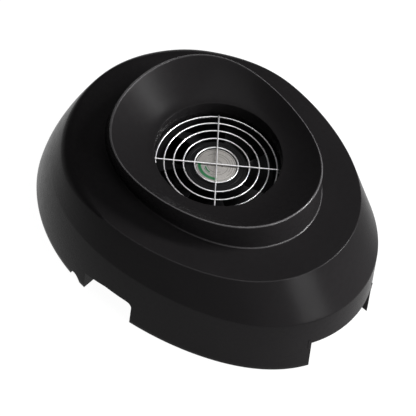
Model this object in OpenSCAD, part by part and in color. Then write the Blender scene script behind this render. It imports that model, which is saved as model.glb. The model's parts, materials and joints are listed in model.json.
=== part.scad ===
// Table-top nail dust collector: a moulded oval housing with a dished hand
// rest, a mains axial fan behind a wire guard, and a dust bag under the fan.
// Z is up, Z = 0 is the table, X is the long axis, the rear wall faces +Y.

/* [Housing] */
// Half length of the foot outline
base_a = 182.0; // [175:0.5:190]
// Half width of the foot outline
base_b = 129.4; // [125:0.2:134]
// Height of the flat top face
top_z = 112.3; // [108:0.1:118]
// Half length of the top face
top_a = 145.2; // [138:0.2:150]
// Half width of the top face
top_b = 125.7; // [118:0.1:127]
// Offset of the top face along X
top_x = 3.0; // [0:0.1:6]
// Height of the crease under the sloping band
band_z = 70.6; // [60:0.1:80]
// Mean outward bulge of the wall at the crease
bulge = 7.3; // [2:0.1:9]
// Wall thickness of the moulding
wall = 3.0; // [2.4:0.1:3.4]

/* [Hand rest] */
// Half length of the collar where it leaves the top face
collar_a = 110.3; // [104:0.1:116]
// Half width of the collar where it leaves the top face
collar_b = 85.8; // [82:0.1:92]
// Mean height of the rim
rim_z = 140.6; // [136:0.1:146]
// Half length of the rim
rim_a = 100.4; // [96:0.1:104]
// Half width of the rim
rim_b = 93.2; // [88:0.1:98]
// How far the rim drops from the left end to the right end, each side
rim_tilt = 4.6; // [0:0.1:6]
// How far the rim's ends rise above its sides
rim_saddle = 7.0; // [0:0.1:8]
// Radius of the throat over the fan
throat_r = 59.2; // [58.8:0.1:60]
// Height of the throat's upper edge
throat_z = 126.4; // [122:0.1:130]
// Centre of the throat and fan along X
fan_x = 3.4; // [2:0.1:5]

/* [Fan] */
// Side of the square fan frame
fan_size = 120; // [120:0.1:120]
// Depth of the fan frame
fan_h = 38; // [38:0.1:38]
// Hole pitch of the fan and guard
fan_pitch = 105; // [105:0.1:105]
// Turn of the fan about the vertical axis
fan_turn = -5.6; // [-8:0.1:0]
// Height of the fan's upper face
fan_top = 104.5; // [104:0.1:104.5]
// Hub radius
hub_r = 29; // [28:0.1:31]
// Number of blades
blades = 7; // [5:1:9]
// Wire radius of the guard
wire_r = 0.65; // [0.6:0.05:1]
// Height of the guard's rings
guard_z = 109.3; // [109:0.1:112]

// How far the hub stands above the fan's upper face
hub_proud = 2.9; // [0:0.1:3]
// Radius of the label disc
label_r = 19; // [16:0.1:19.5]

/* [Openings] */
// Left end of the side notch
notch_x0 = -34; // [-38:0.5:-30]
// Right end of the side notch
notch_x1 = 22.5; // [18:0.5:26]
// Height of the side notch
notch_h = 30.5; // [26:0.1:32]
// Half width of the end notch
end_notch = 43; // [38:0.5:46]
// Height of the end notch
end_notch_h = 36.5; // [30:0.1:38]

/* [Dust bag] */
// Half length of the filled bag
bag_a = 118; // [90:1:122]
// Half width of the filled bag
bag_b = 92; // [80:1:98]
// Cloth thickness
cloth = 1.2; // [0.8:0.1:1.6]

/* [Switch] */
// Rocker travel from off to on, degrees
rocker_throw = 24; // [16:1:26]

/* [Hidden] */

seg = 96;                       // steps round the housing
foot_gap = 1.0;                 // the feet lift the moulding by this much
fan_bot = fan_top - fan_h;
flange_z = fan_top + 2;         // underside of the fan flange
panel_y = 125.5;                // outer face of the rear panel
panel_in = 122.3;               // inner face of the rear panel
inlet_c = [-18, 52];            // inlet centre, X and Z
switch_c = [25, 52];            // switch centre, X and Z
leg_h = 38;
x_shift = 1.3;                  // the end notch shortens the box on one side
ring_set = [20.3, 30.8, 39.9, 48.8, 56.6];

// ---------- surfaces of revolution-like rings -----------------------------
// one oval: centre, half axes and three shape terms
function oval(t, cx, a, b, k1, k2, k3) =
    [cx + a * cos(t), b * sin(t) * (1 + k1 * cos(t) + k2 * cos(2 * t) + k3 * cos(3 * t))];
function mixv(p, q, f) = p * (1 - f) + q * f;
function step3(e0, e1, x) = let (s = min(1, max(0, (x - e0) / (e1 - e0)))) s * s * (3 - 2 * s);
function base_pt(t) = oval(t, 0, base_a, base_b, -0.007, -0.003, 0.023);
function top_pt(t) = oval(t, top_x, top_a, top_b, -0.073, 0.037, 0.016);
function collar_pt(t) = oval(t, -0.65, collar_a, collar_b, -0.022, 0.031, 0.004);
function rim_pt(t) = oval(t, fan_x + 1.1, rim_a, rim_b, -0.149, 0.081, -0.002);
function rim_h(t) = rim_z - rim_tilt * cos(t) + rim_saddle * cos(t) * cos(t);
// plan normal of the oval, used to set walls inwards
function nrm(t, a, b) = let (v = [cos(t) / a, sin(t) / b]) v / norm(v);
// outward bulge of the wall at the crease
function bulge_at(t) = bulge + 5.6 * cos(t) + 2.4 * cos(2 * t) + 0.6 * cos(3 * t);
// 0 where the crease is sharp, 1 where the wall is one smooth curve
function soft_at(t) = step3(70, 150, t > 180 ? 360 - t : t);
function bulge_z(t, z) = let (f = z / top_z,
        tent = z < band_z ? z / band_z : (top_z - z) / (top_z - band_z),
        arc = 4 * f * (1 - f))
    mixv(tent, arc, soft_at(t)) * bulge_at(t);
function wall_pt(t, z, inset) =
    let (p = mixv(base_pt(t), top_pt(t), z / top_z) + bulge_z(t, z) * [cos(t), sin(t)]
        - inset * nrm(t, base_a, base_b))
    [p[0], p[1], z];
function lift(p, z) = [p[0], p[1], z];
// extra thickness behind the rear panel
function pad(t, z) = abs(t - 90) < 19.5 && z > 31 && z < 73 ? 4.5 : 0;
function throat_pt(t, r) = [fan_x + r * cos(t), r * sin(t)];
// dish from throat (s = 0) to rim (s = 1)
function dish_pt(t, s, dz) =
    let (p = mixv(throat_pt(t, throat_r), rim_pt(t) - 1.2 * nrm(t, rim_a, rim_b), s))
    [p[0], p[1], throat_z + (rim_h(t) - throat_z) * pow(s, 1.45) + dz];
function loop_of(k, inset, z) = [for (i = [0:seg - 1]) let (t = 360 * i / seg) wall_pt(t, z, inset)];
function all_t() = [for (i = [0:seg - 1]) 360 * i / seg];

outer_z = [foot_gap, 24, 48, band_z - 1, band_z, 84, 98, top_z - 2.2];
inner_z = [104, 92, 80, 73.2, 72.8, 60, 48, 31.2, 30.8, 14, foot_gap];

housing_rings = concat(
    [for (z = outer_z) [for (t = all_t()) wall_pt(t, z, 0)]],
    [[for (t = all_t()) wall_pt(t, top_z - 0.7, 0.5)],
     [for (t = all_t()) lift(top_pt(t) - 2.0 * nrm(t, base_a, base_b), top_z)],
     [for (t = all_t()) lift(mixv(top_pt(t), collar_pt(t), 0.55), top_z)],
     [for (t = all_t()) lift(collar_pt(t) + 1.2 * nrm(t, base_a, base_b), top_z)],
     [for (t = all_t()) lift(mixv(collar_pt(t), rim_pt(t), 0.04), top_z + 1.3)],
     [for (t = all_t()) lift(mixv(collar_pt(t), rim_pt(t), 0.5), mixv(top_z, rim_h(t), 0.5))],
     [for (t = all_t()) lift(rim_pt(t), rim_h(t) - 1.2)],
     [for (t = all_t()) lift(rim_pt(t) - 0.4 * nrm(t, rim_a, rim_b), rim_h(t) - 0.3)]],
    [for (s = [1, 0.8, 0.6, 0.4, 0.2, 0]) [for (t = all_t()) dish_pt(t, s, 0)]],
    [[for (t = all_t()) lift(throat_pt(t, throat_r), flange_z)],
     [for (t = all_t()) lift(throat_pt(t, throat_r + wall), flange_z)],
     [for (t = all_t()) lift(throat_pt(t, throat_r + wall), throat_z - wall)]],
    [for (s = [0.25, 0.5, 0.75, 0.9]) [for (t = all_t()) dish_pt(t, s, -wall)]],
    [[for (t = all_t()) lift(rim_pt(t) - 4.2 * nrm(t, rim_a, rim_b), rim_h(t) - wall - 2.4)],
     [for (t = all_t()) lift(mixv(collar_pt(t), rim_pt(t), 0.5) - wall * nrm(t, rim_a, rim_b),
        mixv(top_z, rim_h(t), 0.5) - 1)],
     [for (t = all_t()) lift(collar_pt(t) - wall * nrm(t, base_a, base_b), top_z - wall)],
     [for (t = all_t()) lift(mixv(top_pt(t), collar_pt(t), 0.55), top_z - wall)],
     [for (t = all_t()) lift(top_pt(t) - 5 * nrm(t, base_a, base_b), top_z - wall)]],
    [for (z = inner_z) [for (t = all_t()) wall_pt(t, z, wall + pad(t, z))]]);

// closed ring-shaped solid through a list of rings, first ring follows the last
module ring_solid(rings) {
    n = len(rings); m = len(rings[0]);
    pts = [for (r = rings) for (p = r) p];
    faces = [for (i = [0:n - 1]) for (j = [0:m - 1])
        let (i1 = (i + 1) % n, j1 = (j + 1) % m, a = i * m + j, b = i1 * m + j, c = i1 * m + j1, d = i * m + j1)
        each [[a, b, c], [a, c, d]]];
    polyhedron(points = pts, faces = faces, convexity = 8);
}

// round bar between two points
module bar(p, q, r, fn = 24) {
    v = q - p; l = norm(v);
    translate(p) rotate([0, acos(v[2] / l), atan2(v[1], v[0])]) cylinder(r = r, h = l, $fn = fn);
}
// insulated lead swept along hand-set points, eight sides
function spline(p, s, k) = let (n = len(p), a = p[max(0, k - 1)], b = p[k], c = p[min(n - 1, k + 1)], d = p[min(n - 1, k + 2)])
    0.5 * (2 * b + (c - a) * s + (2 * a - 5 * b + 4 * c - d) * s * s + (3 * b - a - 3 * c + d) * s * s * s);
function smooth_path(p, q) = concat([for (k = [0:len(p) - 2]) for (j = [0:q - 1]) spline(p, j / q, k)], [p[len(p) - 1]]);
function unit(v) = v / norm(v);
module lead(pts, r) {
    c = smooth_path(pts, 4);
    n = len(c); m = 8;
    tan = [for (i = [0:n - 1]) unit(c[min(n - 1, i + 1)] - c[max(0, i - 1)])];
    // side vectors carried along the path without twist
    side = [for (i = 0, u = unit(cross(tan[0], [1, 0.3, 0.2])); i < n;
        i = i + 1, u = i < n ? unit(u - (u * tan[i]) * tan[i]) : u) u];
    v = [for (i = [0:n - 1]) for (j = [0:m - 1]) let (a = 360 * j / m)
        c[i] + r * (cos(a) * side[i] + sin(a) * cross(tan[i], side[i]))];
    polyhedron(points = v, faces = concat(
        [[for (j = [0:m - 1]) j]],
        [for (i = [0:n - 2]) for (j = [0:m - 1]) let (k = (j + 1) % m, a = i * m)
            each [[a + j, a + m + j, a + m + k], [a + j, a + m + k, a + k]]],
        [[for (j = [m - 1:-1:0]) (n - 1) * m + j]]), convexity = 6);
}
// sets the origin under the middle of the footprint
module place() { translate([x_shift, 0, 0]) children(); }
module at_fan() { translate([fan_x, 0, 0]) rotate([0, 0, fan_turn]) children(); }
module at_corners() {
    for (i = [0:3]) rotate([0, 0, 90 * i]) translate([fan_pitch / 2, fan_pitch / 2, 0]) children();
}
module tube(ro, ri, h) {
    difference() { cylinder(r = ro, h = h, $fn = 96); translate([0, 0, -1]) cylinder(r = ri, h = h + 2, $fn = 96); }
}
// square plate with round corners, made of exact solids
module plate(s, r, h) {
    linear_extrude(h) union() {
        square([s - 2 * r, s], center = true);
        square([s, s - 2 * r], center = true);
        for (x = [-1, 1], y = [-1, 1]) translate([x * (s / 2 - r), y * (s / 2 - r)]) circle(r = r, $fn = 48);
    }
}

// foot positions, all just inside the skirt
feet = [[-40.2, -117.5], [29.8, -117], [-40.2, 117.5], [29.8, 117],
        [153.5, -52.5], [153.5, 52.5], [-160, -44], [-160, 44]];

module notch_side() {
    // sloped top towards the left end, rounded corners at the right end
    translate([0, -100, 0]) rotate([90, 0, 0]) linear_extrude(50) union() {
        polygon([[notch_x0, -5], [notch_x1, -5], [notch_x1, notch_h - 6], [notch_x1 - 6, notch_h],
            [-8, notch_h], [notch_x0, notch_h - 6]]);
        translate([notch_x1 - 6, notch_h - 6]) circle(r = 6, $fn = 48);
    }
}

// small relief beside the left leg, through the skirt wall only
module nick() { translate([0, -122, 0]) rotate([90, 0, 0]) linear_extrude(30)
    polygon([[-54.5, -5], [-40.5, -5], [-40.5, 0.5], [-42.8, 4], [-45.2, 6.8], [-48.5, 8], [-51.8, 7.2], [-54, 4.5]]); }

module housing() place() color([0.05, 0.05, 0.055]) difference() {
    union() {
        ring_solid(housing_rings);
        // fan flange round the lower end of the throat
        at_fan() translate([0, 0, flange_z]) difference() {
            plate(fan_size + 2, 6, 3);
            translate([0, 0, -1]) cylinder(r = throat_r + 1.5, h = 5, $fn = 96);
        }
        // screw bosses
        at_fan() at_corners() translate([0, 0, flange_z]) cylinder(r = 5, h = 22.2, $fn = 48);
        // legs beside the side notches
        for (s = [-1, 1]) {
            translate([0, 0, foot_gap]) linear_extrude(leg_h)
                polygon([[notch_x0 - 12.5, s * 126.9], [notch_x0, s * 128.2], [notch_x0, s * 110.8], [notch_x0 - 12.5, s * 110.8]]);
            translate([0, 0, foot_gap]) linear_extrude(leg_h)
                polygon([[notch_x1, s * 126.5], [notch_x1 + 14, s * 123.4], [notch_x1 + 14, s * 109.5], [notch_x1, s * 111.5]]);
            // returns at the ends of the end notch
            translate([150, s > 0 ? end_notch : -end_notch - 3, foot_gap]) cube([18.5, 3, end_notch_h + 4]);
        }
        // foot bosses
        for (i = [4:7]) translate([feet[i][0], feet[i][1], foot_gap]) cylinder(r = 7.5, h = 10, $fn = 48);
    }
    // side notches
    notch_side();
    mirror([0, 1, 0]) notch_side();
    nick();
    mirror([0, 1, 0]) nick();
    // end notch
    translate([120, -end_notch, -5]) cube([80, 2 * end_notch, end_notch_h + 5]);
    // blind screw holes
    at_fan() at_corners() translate([0, 0, flange_z - 1]) cylinder(r = 2.02, h = 16, $fn = 32);
    // rear panel, outer and inner flats
    translate([-46, panel_y, 36]) cube([92, 20, 32]);
    translate([-46, 100, 35]) cube([92, panel_in - 100, 34]);
    // inlet and switch cut-outs
    translate([inlet_c[0] - 13.6, 110, inlet_c[1] - 10.1]) cube([27.2, 30, 20.2]);
    translate([switch_c[0] - 6.5, 110, switch_c[1] - 9.7]) cube([13, 30, 19.4]);
    for (s = [-1, 1]) translate([inlet_c[0] + 20 * s, 110, inlet_c[1]]) rotate([-90, 0, 0])
        cylinder(r = 1.7, h = 30, $fn = 32);
    // foot pockets
    for (f = feet) translate([f[0], f[1], foot_gap - 1]) cylinder(r = 4.52, h = 3, $fn = 48);
}

module rubber_feet() place() color([0.09, 0.09, 0.09])
    for (f = feet) translate([f[0], f[1], 0]) union() {
        cylinder(r1 = 4.0, r2 = 4.5, h = 0.6, $fn = 48);
        translate([0, 0, 0.6]) cylinder(r = 4.5, h = 2.4, $fn = 48);
    }

module fan_gasket() place() color([0.2, 0.2, 0.2]) at_fan() translate([0, 0, fan_top]) difference() {
    plate(fan_size, 5, 2);
    translate([0, 0, -1]) cylinder(r = 59.6, h = 4, $fn = 96);
    // room for the guard's ears and legs
    at_corners() translate([0, 0, -1]) cylinder(r = 5.2, h = 4, $fn = 48);
    for (i = [0:3]) rotate([0, 0, 45 + 90 * i]) translate([50, -1.6, -1]) cube([22, 3.2, 4]);
}

module guard_rings() place() color([0.8, 0.8, 0.82]) at_fan()
    for (r = ring_set) translate([0, 0, guard_z]) rotate_extrude($fn = 96) translate([r, 0]) circle(r = wire_r, $fn = 24);

// two wires lying on the rings, bent down at their ends to eyes under the flange
module guard_spokes() place() color([0.8, 0.8, 0.82]) at_fan() union() {
    reach = 57.2;
    for (i = [0:1]) rotate([0, 0, 45 + 90 * i]) {
        z1 = guard_z + 2 * wire_r + 0.01 + 0.02 * i; z0 = fan_top + 1.0;
        bar([-reach, 0, z1], [reach, 0, z1], wire_r);
        for (s = [-1, 1]) {
            translate([(reach + 0.72) * s, 0, z1]) sphere(r = wire_r, $fn = 24);
            bar([reach * s, 0, z1], [(reach + 0.72) * s, 0, z1], wire_r);
            bar([(reach + 0.72) * s, 0, z0], [(reach + 0.72) * s, 0, z1], wire_r);
            translate([(reach + 0.72) * s, 0, z0]) sphere(r = wire_r, $fn = 24);
            bar([(reach + 0.72) * s, 0, z0], [(norm([fan_pitch, fan_pitch]) / 2 - 3.4) * s, 0, z0], wire_r);
        }
    }
    at_corners() translate([0, 0, fan_top + 1.0]) rotate_extrude($fn = 48) translate([3.5, 0]) circle(r = wire_r, $fn = 24);
}

module fan_frame() place() color([0.07, 0.07, 0.075]) at_fan() translate([0, 0, fan_bot]) difference() {
    union() {
        plate(fan_size - 0.2, 5, 4);
        translate([0, 0, fan_h - 4]) plate(fan_size - 0.2, 5, 4);
        cylinder(r = 59.8, h = fan_h, $fn = 96);
        at_corners() cylinder(r = 4.6, h = fan_h, $fn = 32);
        translate([-14, 56, 3]) cube([36, 3.6, 24]);
    }
    translate([0, 0, -1]) cylinder(r = 58.2, h = fan_h + 2, $fn = 96);
    // seats for the arms of the motor plate
    for (i = [0:3]) rotate([0, 0, 90 * i + 20]) translate([50, -3.05, -1]) cube([9, 6.1, 4.4]);
    at_corners() translate([0, 0, -1]) cylinder(r = 2.2, h = fan_h + 2, $fn = 32);
    // terminal blade slots and earth screw hole
    for (x = [10, 17]) translate([x - 1.4, 50, 8]) cube([2.8, 12, 0.8]);
    translate([-8, 50, 18]) rotate([-90, 0, 0]) cylinder(r = 1.52, h = 12, $fn = 32);
}

module motor_plate() place() color([0.07, 0.07, 0.075]) at_fan() translate([0, 0, fan_bot]) difference() {
    union() {
        cylinder(r = 28.5, h = 3, $fn = 96);
        for (i = [0:3]) rotate([0, 0, 90 * i + 20]) translate([20, -3, 0]) cube([38.9, 6, 3.4]);
        // bearing tube
        cylinder(r = 6.5, h = 29, $fn = 48);
    }
    translate([0, 0, 3]) cylinder(r = 5.02, h = 40, $fn = 48);
}

module fan_screws() place() color([0.75, 0.75, 0.76]) at_fan() at_corners() translate([0, 0, fan_bot - 3.8]) difference() {
    union() {
        cylinder(r = 2.0, h = 56.5, $fn = 32);
        translate([0, 0, -2.6]) cylinder(r = 3.9, h = 2.6, $fn = 32);
    }
    // cross recess
    for (a = [0, 90]) rotate([0, 0, a]) translate([-2.2, -0.4, -3]) cube([4.4, 0.8, 1.9]);
}

module fan_washers() place() color([0.7, 0.7, 0.71]) at_fan() at_corners() translate([0, 0, fan_bot - 3.8]) tube(4.5, 2.15, 0.8);

module impeller() place() color([0.05, 0.05, 0.055]) at_fan() {
    h0 = fan_bot + 6; h1 = fan_top + hub_proud;
    union() {
        // cup
        translate([0, 0, h0]) difference() {
            cylinder(r = hub_r, h = h1 - h0, $fn = 96);
            translate([0, 0, -1]) cylinder(r = hub_r - 2.4, h = h1 - h0 - 1.6, $fn = 96);
        }
        // shaft boss
        translate([0, 0, h1 - 6]) difference() {
            cylinder(r = 6, h = 4.5, $fn = 48);
            translate([0, 0, -1]) cylinder(r = 2.5, h = 10, $fn = 48);
        }
        // blades: sloping plates from hub to tip
        for (i = [0:blades - 1]) rotate([0, 0, 360 / blades * i]) blade(h0 + 2, fan_top - 4);
    }
}
// curved blade, rising from leading to trailing edge as it goes round
module blade(z0, z1) {
    n = 6; th = 1.7; sweep = 34;
    // radius, turn and height of station k on chord step c
    function bp(r, c, dz) = let (lag = 0.30 * (r - hub_r),
            a = sweep * (c - 0.5) * (1 + 0.10 * (56.4 - r) / 26) + lag,
            z = z0 + (z1 - z0) * (0.5 + (c - 0.5) * (1 - 0.25 * (r - hub_r) / 26)) + 3.2 * sin(180 * c))
        [r * cos(a), r * sin(a), min(z1 + 2, max(z0, z + dz))];
    rs = [hub_r - 1.2, 39, 48, 56.4];
    pts = [for (r = rs) each concat([for (c = [0:n]) bp(r, c / n, 0)], [for (c = [n:-1:0]) bp(r, c / n, -th)])];
    m = 2 * (n + 1);
    polyhedron(points = pts, faces = concat(
        [for (c = [0:n - 1]) each [[c, m - 1 - c, m - 2 - c], [c, m - 2 - c, c + 1]]],
        [for (k = [0:2]) for (c = [0:m - 1]) let (d = (c + 1) % m, a = k * m)
            each [[a + c, a + d, a + m + d], [a + c, a + m + d, a + m + c]]],
        [for (c = [0:n - 1]) let (a = 3 * m) each [[a + c, a + m - 2 - c, a + m - 1 - c], [a + c, a + c + 1, a + m - 2 - c]]]),
        convexity = 4);
}

module rotor_ring() place() color([0.55, 0.55, 0.56]) at_fan() translate([0, 0, fan_bot + 6.5]) tube(hub_r - 2.4, hub_r - 4.6, 25);
module hub_label() place() color([0.8, 0.82, 0.8]) at_fan() translate([0, 0, fan_top + hub_proud]) cylinder(r = label_r, h = 1.2, $fn = 96);
module motor_shaft() place() color([0.75, 0.75, 0.76]) at_fan() translate([0, 0, fan_bot + 4.4]) difference() {
    cylinder(r = 2.5, h = fan_h + hub_proud - 7.2, $fn = 48);
    translate([0, 0, 1.2]) tube(4, 2.0, 0.8);
}
module shaft_clip() place() color([0.6, 0.6, 0.62]) at_fan() translate([0, 0, fan_bot + 5.65]) difference() {
    tube(3.8, 2.02, 0.7);
    translate([0, -1.6, -1]) cube([6, 3.2, 3]);
}
module bearing() { difference() { cylinder(r = 5.0, h = 4, $fn = 48); translate([0, 0, -1]) cylinder(r = 2.54, h = 6, $fn = 48); } }
module upper_bearing() place() color([0.7, 0.7, 0.72]) at_fan() translate([0, 0, fan_bot + 25]) bearing();
module lower_bearing() place() color([0.7, 0.7, 0.72]) at_fan() translate([0, 0, fan_bot + 7.2]) bearing();

module stator_core() place() color([0.45, 0.46, 0.48]) at_fan() translate([0, 0, fan_bot + 11.5]) linear_extrude(12) difference() {
    union() {
        circle(r = 10, $fn = 64);
        for (i = [0:3]) rotate(90 * i) {
            translate([0, -3.5]) square([22, 7]);
            // pole shoe
            intersection() {
                difference() { circle(r = hub_r - 5.1, $fn = 96); circle(r = hub_r - 8.2, $fn = 96); }
                polygon([[0, 0], [40, -25], [40, 25]]);
            }
        }
    }
    circle(r = 6.52, $fn = 64);
}
module stator_coils() place() color([0.72, 0.4, 0.2]) at_fan() translate([0, 0, fan_bot + 7.5])
    for (i = [0:3]) rotate([0, 0, 90 * i]) difference() {
        translate([12.2, -7.2, 0]) cube([7, 14.4, 20]);
        translate([11, -3.6, 3.9]) cube([12, 7.2, 12.2]);
    }
module fan_terminals() place() color([0.8, 0.7, 0.4]) at_fan()
    for (x = [10, 17]) translate([x - 1.38, 58.4, fan_bot + 8.02]) cube([2.76, 9, 0.76]);
module earth_screw() place() color([0.75, 0.75, 0.76]) at_fan() translate([-8, 0, fan_bot + 18]) rotate([-90, 0, 0]) difference() {
    union() { translate([0, 0, 58.5]) cylinder(r = 1.5, h = 3, $fn = 32); translate([0, 0, 61.3]) cylinder(r = 3, h = 2, $fn = 32); }
    translate([-2, -0.4, 62.6]) cube([4, 0.8, 2]);
}

module bag_ring() place() color([0.08, 0.08, 0.085]) at_fan() difference() {
    union() {
        translate([0, 0, fan_bot - 3]) plate(fan_size - 1, 5, 3);
        translate([0, 0, fan_bot - 17]) cylinder(r = 60.5, h = 16, $fn = 96);
        translate([0, 0, fan_bot - 17]) cylinder(r = 63.5, h = 3, $fn = 96);
    }
    translate([0, 0, fan_bot - 20]) cylinder(r = 57.5, h = 30, $fn = 96);
    at_corners() translate([0, 0, fan_bot - 5]) cylinder(r = 2.2, h = 10, $fn = 32);
}

module bag_elastic() place() color([0.12, 0.12, 0.13]) translate([fan_x, 0, fan_bot - 8.8])
    rotate_extrude($fn = 96) translate([64.0, 0]) circle(r = 1.7, $fn = 24);

// outline of the bag at height z, r0 is the mouth radius
bag_seg = 64;
function bag_loop(f, r0, a, b, z) = [for (i = [0:bag_seg - 1]) let (t = 360 * i / bag_seg)
    [fan_x + (r0 * (1 - f) + a * f) * cos(t), (r0 * (1 - f) + b * f) * sin(t), z]];
bag_out = [[0, 62.2, 60.0], [0, 62.2, 54.4], [0, 65.4, 53.0], [0, 66.0, 49.5], [0.35, 66, 47.0], [0.62, 66, 42.5],
    [0.85, 66, 35], [0.97, 66, 27], [1, 66, 19], [0.97, 66, 10], [0.88, 66, 4], [0.78, 66, 1.2]];
module dust_bag() place() color([0.16, 0.16, 0.18]) {
    outer = [for (p = bag_out) bag_loop(p[0], p[1], bag_a, bag_b, p[2])];
    c = cloth;
    inner = [for (k = [len(bag_out) - 1:-1:0]) let (p = bag_out[k],
            dz = k >= 10 ? c : k == 9 ? c * 0.5 : k < 4 ? 0 : -c * 0.8)
        bag_loop(p[0], p[1] - c, bag_a - c, bag_b - c, k == len(bag_out) - 1 ? 1.2 + c : p[2] + dz)];
    rings = concat(outer, inner);
    n = len(rings); m = bag_seg; h = len(outer);
    pts = concat([for (r = rings) for (p = r) p], [[fan_x, 0, 1.0], [fan_x, 0, 1.0 + c]]);
    // the floor of the bag closes each skin at its centre
    faces = concat(
        [for (i = [0:n - 1]) if (i != h - 1) for (j = [0:m - 1])
            let (i1 = (i + 1) % n, j1 = (j + 1) % m, a = i * m + j, b = i1 * m + j, c2 = i1 * m + j1, d = i * m + j1)
            each [[a, c2, b], [a, d, c2]]],
        [for (j = [0:m - 1]) let (j1 = (j + 1) % m, o = (h - 1) * m, q = h * m) each
            [[o + j, o + j1, n * m], [q + j1, q + j, n * m + 1]]]);
    polyhedron(points = pts, faces = faces, convexity = 8);
}

// ---------- rear panel parts ---------------------------------------------
module switch_body() place() color([0.06, 0.06, 0.065]) translate([switch_c[0], 0, switch_c[1]]) difference() {
    union() {
        translate([-7.5, panel_y, -10.5]) cube([15, 1.8, 21]);
        translate([-6.45, panel_y - 15, -9.65]) cube([12.9, 15.5, 19.3]);
    }
    translate([-5.3, panel_y - 9, -8.9]) cube([10.6, 20, 17.8]);
    // pivot holes
    translate([-6.0, panel_y - 1.2, 0]) rotate([0, 90, 0]) cylinder(r = 1.25, h = 12.0, $fn = 32);
    // blade slots
    for (s = [-1, 1]) translate([-2.42, panel_y - 18, 5 * s - 0.42]) cube([4.84, 10, 0.84]);
}
module switch_rocker() place() color([0.09, 0.09, 0.095]) translate([switch_c[0], panel_y - 1.2, switch_c[1]])
    rotate([rocker_throw / 2, 0, 0]) union() {
        rotate([90, 0, 90]) translate([0, 0, -5]) linear_extrude(10)
            polygon([[3.3, -8.0], [4.0, -7.4], [3.0, -2.6], [2.7, 0], [3.0, 2.6], [4.0, 7.4], [3.3, 8.0],
                [0.6, 8.2], [-2.6, 3.0], [-3.8, 0], [-2.6, -3.0], [0.6, -8.2]]);
        translate([-5.7, 0, 0]) rotate([0, 90, 0]) cylinder(r = 1.2, h = 11.4, $fn = 32);
    }
module switch_terminals() place() color([0.8, 0.7, 0.4]) translate([switch_c[0], 0, switch_c[1]])
    for (s = [-1, 1]) translate([-2.4, panel_y - 23, 5 * s - 0.4]) cube([4.8, 13, 0.8]);

module inlet_body() place() color([0.07, 0.07, 0.075]) translate([inlet_c[0], 0, inlet_c[1]]) difference() {
    union() {
        // flange with rounded ears
        translate([0, panel_y + 2.2, 0]) rotate([90, 0, 0]) linear_extrude(2.2) union() {
            square([30, 22.6], center = true);
            polygon([[-20, -5], [-15, -11.3], [15, -11.3], [20, -5], [20, 5], [15, 11.3], [-15, 11.3], [-20, 5]]);
            for (s = [-1, 1]) translate([20 * s, 0]) circle(r = 5, $fn = 48);
        }
        translate([-13.5, panel_y - 16, -10]) cube([27, 17, 20]);
    }
    // socket, two lower corners cut
    translate([0, panel_y + 5, 0]) rotate([90, 0, 0]) linear_extrude(19)
        polygon([[-12, 8], [-12, -3.5], [-7.5, -8], [7.5, -8], [12, -3.5], [12, 8]]);
    for (s = [-1, 1]) translate([20 * s, panel_y - 5, 0]) rotate([-90, 0, 0]) cylinder(r = 1.7, h = 20, $fn = 32);
    // pin slots
    for (p = [[-7, -1], [7, -1], [0, 3]]) translate([p[0] - 1.02, panel_y - 20, p[1] - 2.02]) cube([2.04, 10, 4.04]);
}
module inlet_pins() place() color([0.78, 0.78, 0.74]) translate([inlet_c[0], 0, inlet_c[1]])
    for (p = [[-7, -1], [7, -1], [0, 3]]) union() {
        translate([p[0] - 1, panel_y - 16.5, p[1] - 2]) cube([2, 14, 4]);
        translate([p[0] - 0.4, panel_y - 24, p[1] - 2]) cube([0.8, 8, 4]);
    }
module inlet_screws() place() color([0.75, 0.75, 0.76]) translate([inlet_c[0], 0, inlet_c[1]])
    for (s = [-1, 1]) translate([20 * s, panel_y + 2.2, 0]) rotate([90, 0, 0]) difference() {
        union() { cylinder(r = 1.5, h = 10.5, $fn = 32); translate([0, 0, -1.8]) cylinder(r = 2.9, h = 1.8, $fn = 32); }
        for (a = [0, 90]) rotate([0, 0, a]) translate([-1.7, -0.35, -2.5]) cube([3.4, 0.7, 1.9]);
    }
module inlet_nuts() place() color([0.72, 0.72, 0.73]) translate([inlet_c[0], 0, inlet_c[1]])
    for (s = [-1, 1]) translate([20 * s, panel_in, 0]) rotate([90, 0, 0]) difference() {
        cylinder(r = 3.2, h = 2.4, $fn = 6);
        translate([0, 0, -1]) cylinder(r = 1.52, h = 5, $fn = 32);
    }

// ---------- leads: points set by hand -------------------------------------
lead_r = 1.1;
pin_y = panel_y - 24.1;          // rear ends of the inlet pins
tab_y = panel_y - 23.1;          // rear ends of the switch tabs
module lead_live() place() color([0.42, 0.22, 0.12])
    lead([[-25, pin_y, 51], [-25, 97.5, 51], [-24, 93, 45], [-10, 91, 40], [12, 91, 40], [24, 94, 42.5], [25, 98.5, 47], [25, tab_y, 47]], lead_r);
module lead_switched() place() color([0.42, 0.22, 0.12])
    lead([[25, tab_y, 57], [25, 98.5, 57], [26, 93, 61], [27, 84, 69], [27.8, 72, 74.7], [27.6, 68, 74.9], [27.2, 65.7, 74.9]], lead_r);
module lead_neutral() place() color([0.15, 0.3, 0.6])
    lead([[-11, pin_y, 51], [-11, 97.5, 51], [-8, 93, 54], [-1, 86, 64], [12, 77, 73], [20.6, 72, 74.7], [20.7, 69, 74.9], [20.3, 66.4, 74.9]], lead_r);
module lead_earth() place() color([0.35, 0.6, 0.2])
    lead([[-18, pin_y, 55], [-18, 97.5, 55], [-18, 93, 59], [-14, 84, 74], [-5, 74, 84], [1, 68, 84.4], [1.6, 64.2, 84.5]], lead_r);

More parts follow.
